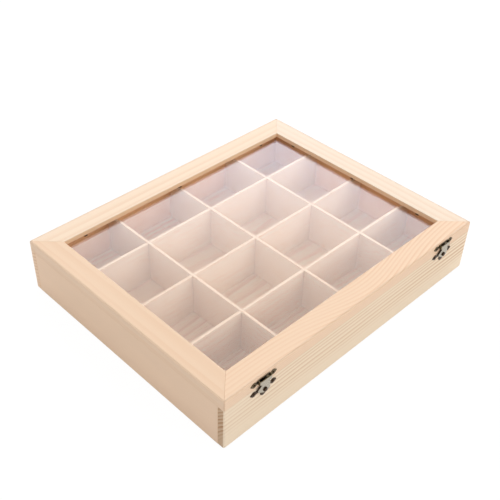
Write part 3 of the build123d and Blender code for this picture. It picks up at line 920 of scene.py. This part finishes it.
def lamp(name, at, aim, size, power, color):
    light = bpy.data.lights.new(name, "AREA")
    light.shape = "RECTANGLE"
    light.size, light.size_y = size
    light.energy = power
    light.color = color
    holder = bpy.data.objects.new(name, light)
    bpy.context.scene.collection.objects.link(holder)
    holder.location = at
    holder.rotation_euler = (Vector(aim) - Vector(at)).to_track_quat("-Z", "Y").to_euler()
    holder.visible_glossy = False


def seen_directly(w):
    """1 for rays that show the backdrop: from the camera, off a mirror or through glass."""
    path = w.node("ShaderNodeLightPath").outputs
    straight = w.sum("MAXIMUM", path["Is Camera Ray"], path["Is Transmission Ray"])
    return w.sum("MAXIMUM", straight, path["Is Glossy Ray"])


class CASE_OT_stage(CaseOperator):
    """Sets the floor, the light and the camera"""

    bl_idname = "case.stage"
    bl_label = "Stage"

    def execute(self, context):
        stage = context.scene.case_stage
        self.lay_floor(stage)
        self.light(context, stage)
        self.set_camera(context, stage)
        return {"FINISHED"}

    def lay_floor(self, stage):
        half = 3.0
        mesh = bpy.data.meshes.new("floor")
        mesh.from_pydata([(-half, -half, 0), (half, -half, 0), (half, half, 0), (-half, half, 0)], [], [(0, 1, 2, 3)])
        floor = bpy.data.objects.new("floor", mesh)
        bpy.context.scene.collection.objects.link(floor)
        material, w, shader, place = new_material("white sweep")
        w.tree.nodes.remove(shader)
        paper = w.node("ShaderNodeBsdfDiffuse", {"Color": (0.86, 0.86, 0.86, 1.0)})
        glow = w.node("ShaderNodeEmission", {"Color": stage.backdrop, "Strength": 1.05})
        seen = w.sum("MULTIPLY", seen_directly(w), 0.9)
        either = w.node("ShaderNodeMixShader", {0: seen, 1: paper.outputs[0], 2: glow.outputs[0]})
        output = next(n for n in w.tree.nodes if n.type == "OUTPUT_MATERIAL")
        w.put(output.inputs["Surface"], either.outputs[0])
        mesh.materials.append(material)

    def light(self, context, stage):
        world = bpy.data.worlds.new("white room")
        world.use_nodes = True
        world.node_tree.nodes.clear()
        w = Wiring(world.node_tree)
        path = w.node("ShaderNodeLightPath").outputs
        way = w.node("ShaderNodeTexCoord").outputs["Generated"]
        level = w.node("ShaderNodeSeparateXYZ", {"Vector": way}).outputs["Z"]
        toward = w.node("ShaderNodeVectorMath", {0: way, 1: MIRRORED}, operation="DOT_PRODUCT").outputs["Value"]
        panel = w.ease(toward, 0.74, 0.92)
        haze = w.mix(w.ease(level, 0.52, 0.70), stage.far_haze, stage.near_haze)
        lit = w.node("ShaderNodeBackground", {"Color": (1.0, 0.985, 0.97, 1), "Strength": stage.sky})
        seen = w.node("ShaderNodeBackground", {"Color": stage.backdrop, "Strength": 1.0})
        glare = w.ease(level, 0.53, 0.72, stage.far_glare, stage.near_glare)
        brightness = w.sum("MULTIPLY_ADD", panel, w.sum("SUBTRACT", glare, 1.0), 1.0)
        mirrored = w.node("ShaderNodeBackground", {"Color": haze, "Strength": brightness})
        bounced = w.sum("MAXIMUM", path["Is Glossy Ray"], path["Is Transmission Ray"])
        first = w.node("ShaderNodeMixShader", {0: bounced, 1: lit.outputs[0], 2: mirrored.outputs[0]})
        second = w.node("ShaderNodeMixShader", {0: path["Is Camera Ray"], 1: first.outputs[0], 2: seen.outputs[0]})
        w.put(w.node("ShaderNodeOutputWorld").inputs["Surface"], second.outputs[0])
        context.scene.world = world
        lamp("softbox", (0.98, 0.95, 1.10), (0, 0, 0), (2.1, 1.15), stage.softbox, (1.0, 0.99, 0.98))
        lamp("front lamp", (0.35, -1.5, 0.80), (0, 0, 0), (1.2, 0.8), stage.front, (1.0, 0.99, 0.97))
        lamp("side lamp", (-1.15, 0.50, 0.62), (0, 0, 0), (0.9, 0.7), stage.side, (1.0, 0.97, 0.94))
        context.scene.view_settings.view_transform = "Standard"

    def set_camera(self, context, stage):
        data = bpy.data.cameras.new("camera")
        data.sensor_width = 36.0
        data.lens = stage.lens
        data.clip_start = 0.01
        ahead = (CAMERA_LOOKS_AT - CAMERA_AT).normalized()
        right = ahead.cross(Vector((0, 0, 1))).normalized()
        top = right.cross(ahead)
        turned_right = right * math.cos(stage.roll) + top * math.sin(stage.roll)
        turned_top = top * math.cos(stage.roll) - right * math.sin(stage.roll)
        camera = bpy.data.objects.new("camera", data)
        turn = Matrix((turned_right, turned_top, -ahead)).transposed().to_4x4()
        camera.matrix_world = Matrix.Translation(CAMERA_AT) @ turn
        context.scene.collection.objects.link(camera)
        context.scene.camera = camera


# ------------------------------------------------------------------ add-on
class CASE_PT_panel(Panel):
    """Lists the case's pieces in the order in which they are made"""

    bl_idname = "CASE_PT_panel"
    bl_label = "Specimen case"
    bl_space_type = "VIEW_3D"
    bl_region_type = "UI"
    bl_category = "Case"

    def draw(self, context):
        for step in STEPS:
            self.layout.operator(step.bl_idname)
        for group in SETTINGS:
            box = self.layout.box()
            settings = getattr(context.scene, group)
            for key in SETTINGS[group].__annotations__:
                box.prop(settings, key)


STEPS = (
    CASE_OT_boards,
    CASE_OT_rails,
    CASE_OT_dividers,
    CASE_OT_pane,
    CASE_OT_clasps,
    CASE_OT_hinges,
    CASE_OT_brads,
    CASE_OT_darts,
    CASE_OT_stage,
)
SETTINGS = {
    "case_wood": WoodSettings,
    "case_metal": MetalSettings,
    "case_nails": NailSettings,
    "case_pane": PaneSettings,
    "case_stage": StageSettings,
}
CLASSES = (*SETTINGS.values(), *STEPS, CASE_PT_panel)


def register():
    for cls in CLASSES:
        bpy.utils.register_class(cls)
    for name, cls in SETTINGS.items():
        setattr(bpy.types.Scene, name, PointerProperty(type=cls))


def unregister():
    for name in SETTINGS:
        delattr(bpy.types.Scene, name)
    for cls in reversed(CLASSES):
        bpy.utils.unregister_class(cls)


def main():
    register()
    for step in STEPS:
        family, name = step.bl_idname.split(".")
        getattr(getattr(bpy.ops, family), name)()


if __name__ == "__main__":
    main()
